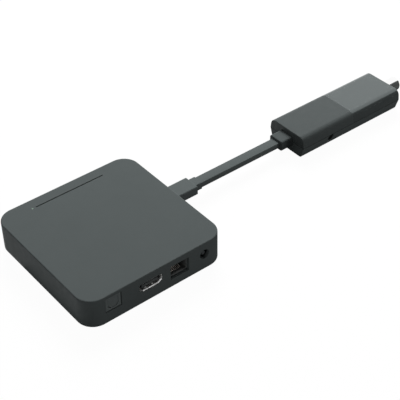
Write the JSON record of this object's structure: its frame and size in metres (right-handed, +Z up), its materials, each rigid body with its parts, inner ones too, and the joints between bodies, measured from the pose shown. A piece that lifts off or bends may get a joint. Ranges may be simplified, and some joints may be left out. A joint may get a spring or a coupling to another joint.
{
  "type": "streaming box with a tuner stick",
  "caption": "Flat square streaming box with a row of sockets on one side and a short flat cable to a stick with a round aerial plug.",
  "frame": {"origin": "middle of the square box, on the lower face of its foot pad, which is the surface that it stands on", "axes": "+X runs along the side with the sockets, from the optical socket towards the stick; +Y points away from that side; +Z is up"},
  "size_m": [0.2888, 0.093, 0.0196],
  "materials": {
    "box_shell": "fine satin texture, dark grey",
    "base_plastic": "matte, dark grey",
    "pad_rubber": "matte",
    "screw_steel": "dark zinc",
    "board": "solder mask, green",
    "chip": "moulded, black",
    "gap_pad": "soft, pale blue grey",
    "heat_sink": "bead blasted",
    "shield": "tin plate",
    "socket_plastic": "moulded, near black",
    "jack_plastic": "moulded, near black",
    "optical_frame": "moulded, grey",
    "optical_door": "moulded, dark grey",
    "contact_gold": "gold plated",
    "pin_steel": "bright",
    "emitter": "clear dark red lens in a black body",
    "lamp": "clear moulding, faint green",
    "lamp_body": "white",
    "ferrite": "pressed powder, dark grey",
    "can": "drawn",
    "plug_metal": "nickel plated",
    "cable_jacket": "soft satin, dark grey",
    "plug_moulding": "moulded, dark grey",
    "stick_matte": "satin, dark grey",
    "stick_gloss": "semi-gloss, dark grey",
    "stick_lower": "satin, dark grey",
    "button": "satin, dark grey",
    "aerial_metal": "bright nickel",
    "insulator": "moulded, white"
  },
  "bodies": {
    "box": {"top_shell": "box_shell", "base_plate": "base_plastic", "foot_pad": "pad_rubber", "base_screws": "screw_steel", "main_board": "board", "board_screws": "screw_steel", "processor": "chip", "thermal_pad": "gap_pad", "heat_sink": "heat_sink", "memory_chips": "chip", "storage_chip": "chip", "radio_can": "shield", "antennas": "shield", "network_transformer": "chip", "power_coils": "ferrite", "capacitors": "can", "status_led": "lamp_body", "light_pipe": "lamp", "hdmi_shell": "plug_metal", "hdmi_insulator": "socket_plastic", "hdmi_contacts": "contact_gold", "ethernet_housing": "jack_plastic", "ethernet_shield": "shield", "ethernet_contacts": "contact_gold", "optical_housing": "optical_frame", "optical_emitter": "emitter", "hinge_pin": "pin_steel", "power_housing": "jack_plastic", "power_pin": "pin_steel", "power_contact": "contact_gold", "usb_socket_shell": "plug_metal", "usb_socket_tongue": "socket_plastic"},
    "door": {"optical_door": "optical_door"},
    "stick": {"plug_shell": "plug_metal", "plug_core": "socket_plastic", "plug_housing": "plug_moulding", "plug_relief": "plug_moulding", "flat_cable": "cable_jacket", "cable_boot": "plug_moulding", "stick_rear_cover": "stick_matte", "stick_front_cover": "stick_gloss", "stick_lower_shell": "stick_lower", "stick_board": "board", "stick_screws": "screw_steel", "tuner_can": "shield", "signal_chip": "chip", "tact_switch": "lamp_body", "aerial_sleeve": "aerial_metal", "aerial_insulator": "insulator", "aerial_pin": "aerial_metal"},
    "button": {"stick_button": "button", "switch_plunger": "chip"}
  },
  "joints": [
    {"name": "door_hinge", "type": "hinge", "parent": "box", "child": "door", "pos_m": [-0.02965, -0.0455, 0.0158], "axis": [1, 0, 0], "range_deg": [0, 85], "stiffness_Nm_per_rad": 0.0002},
    {"name": "plug_slide", "type": "slide", "parent": "box", "child": "stick", "axis": [1, 0, 0], "range_m": [0, 0.008]},
    {"name": "button_press", "type": "slide", "parent": "stick", "child": "button", "axis": [0, 1, 0], "range_m": [0, 0.00035], "stiffness_N_per_m": 2000, "springref_m": -0.0002}
  ]
}
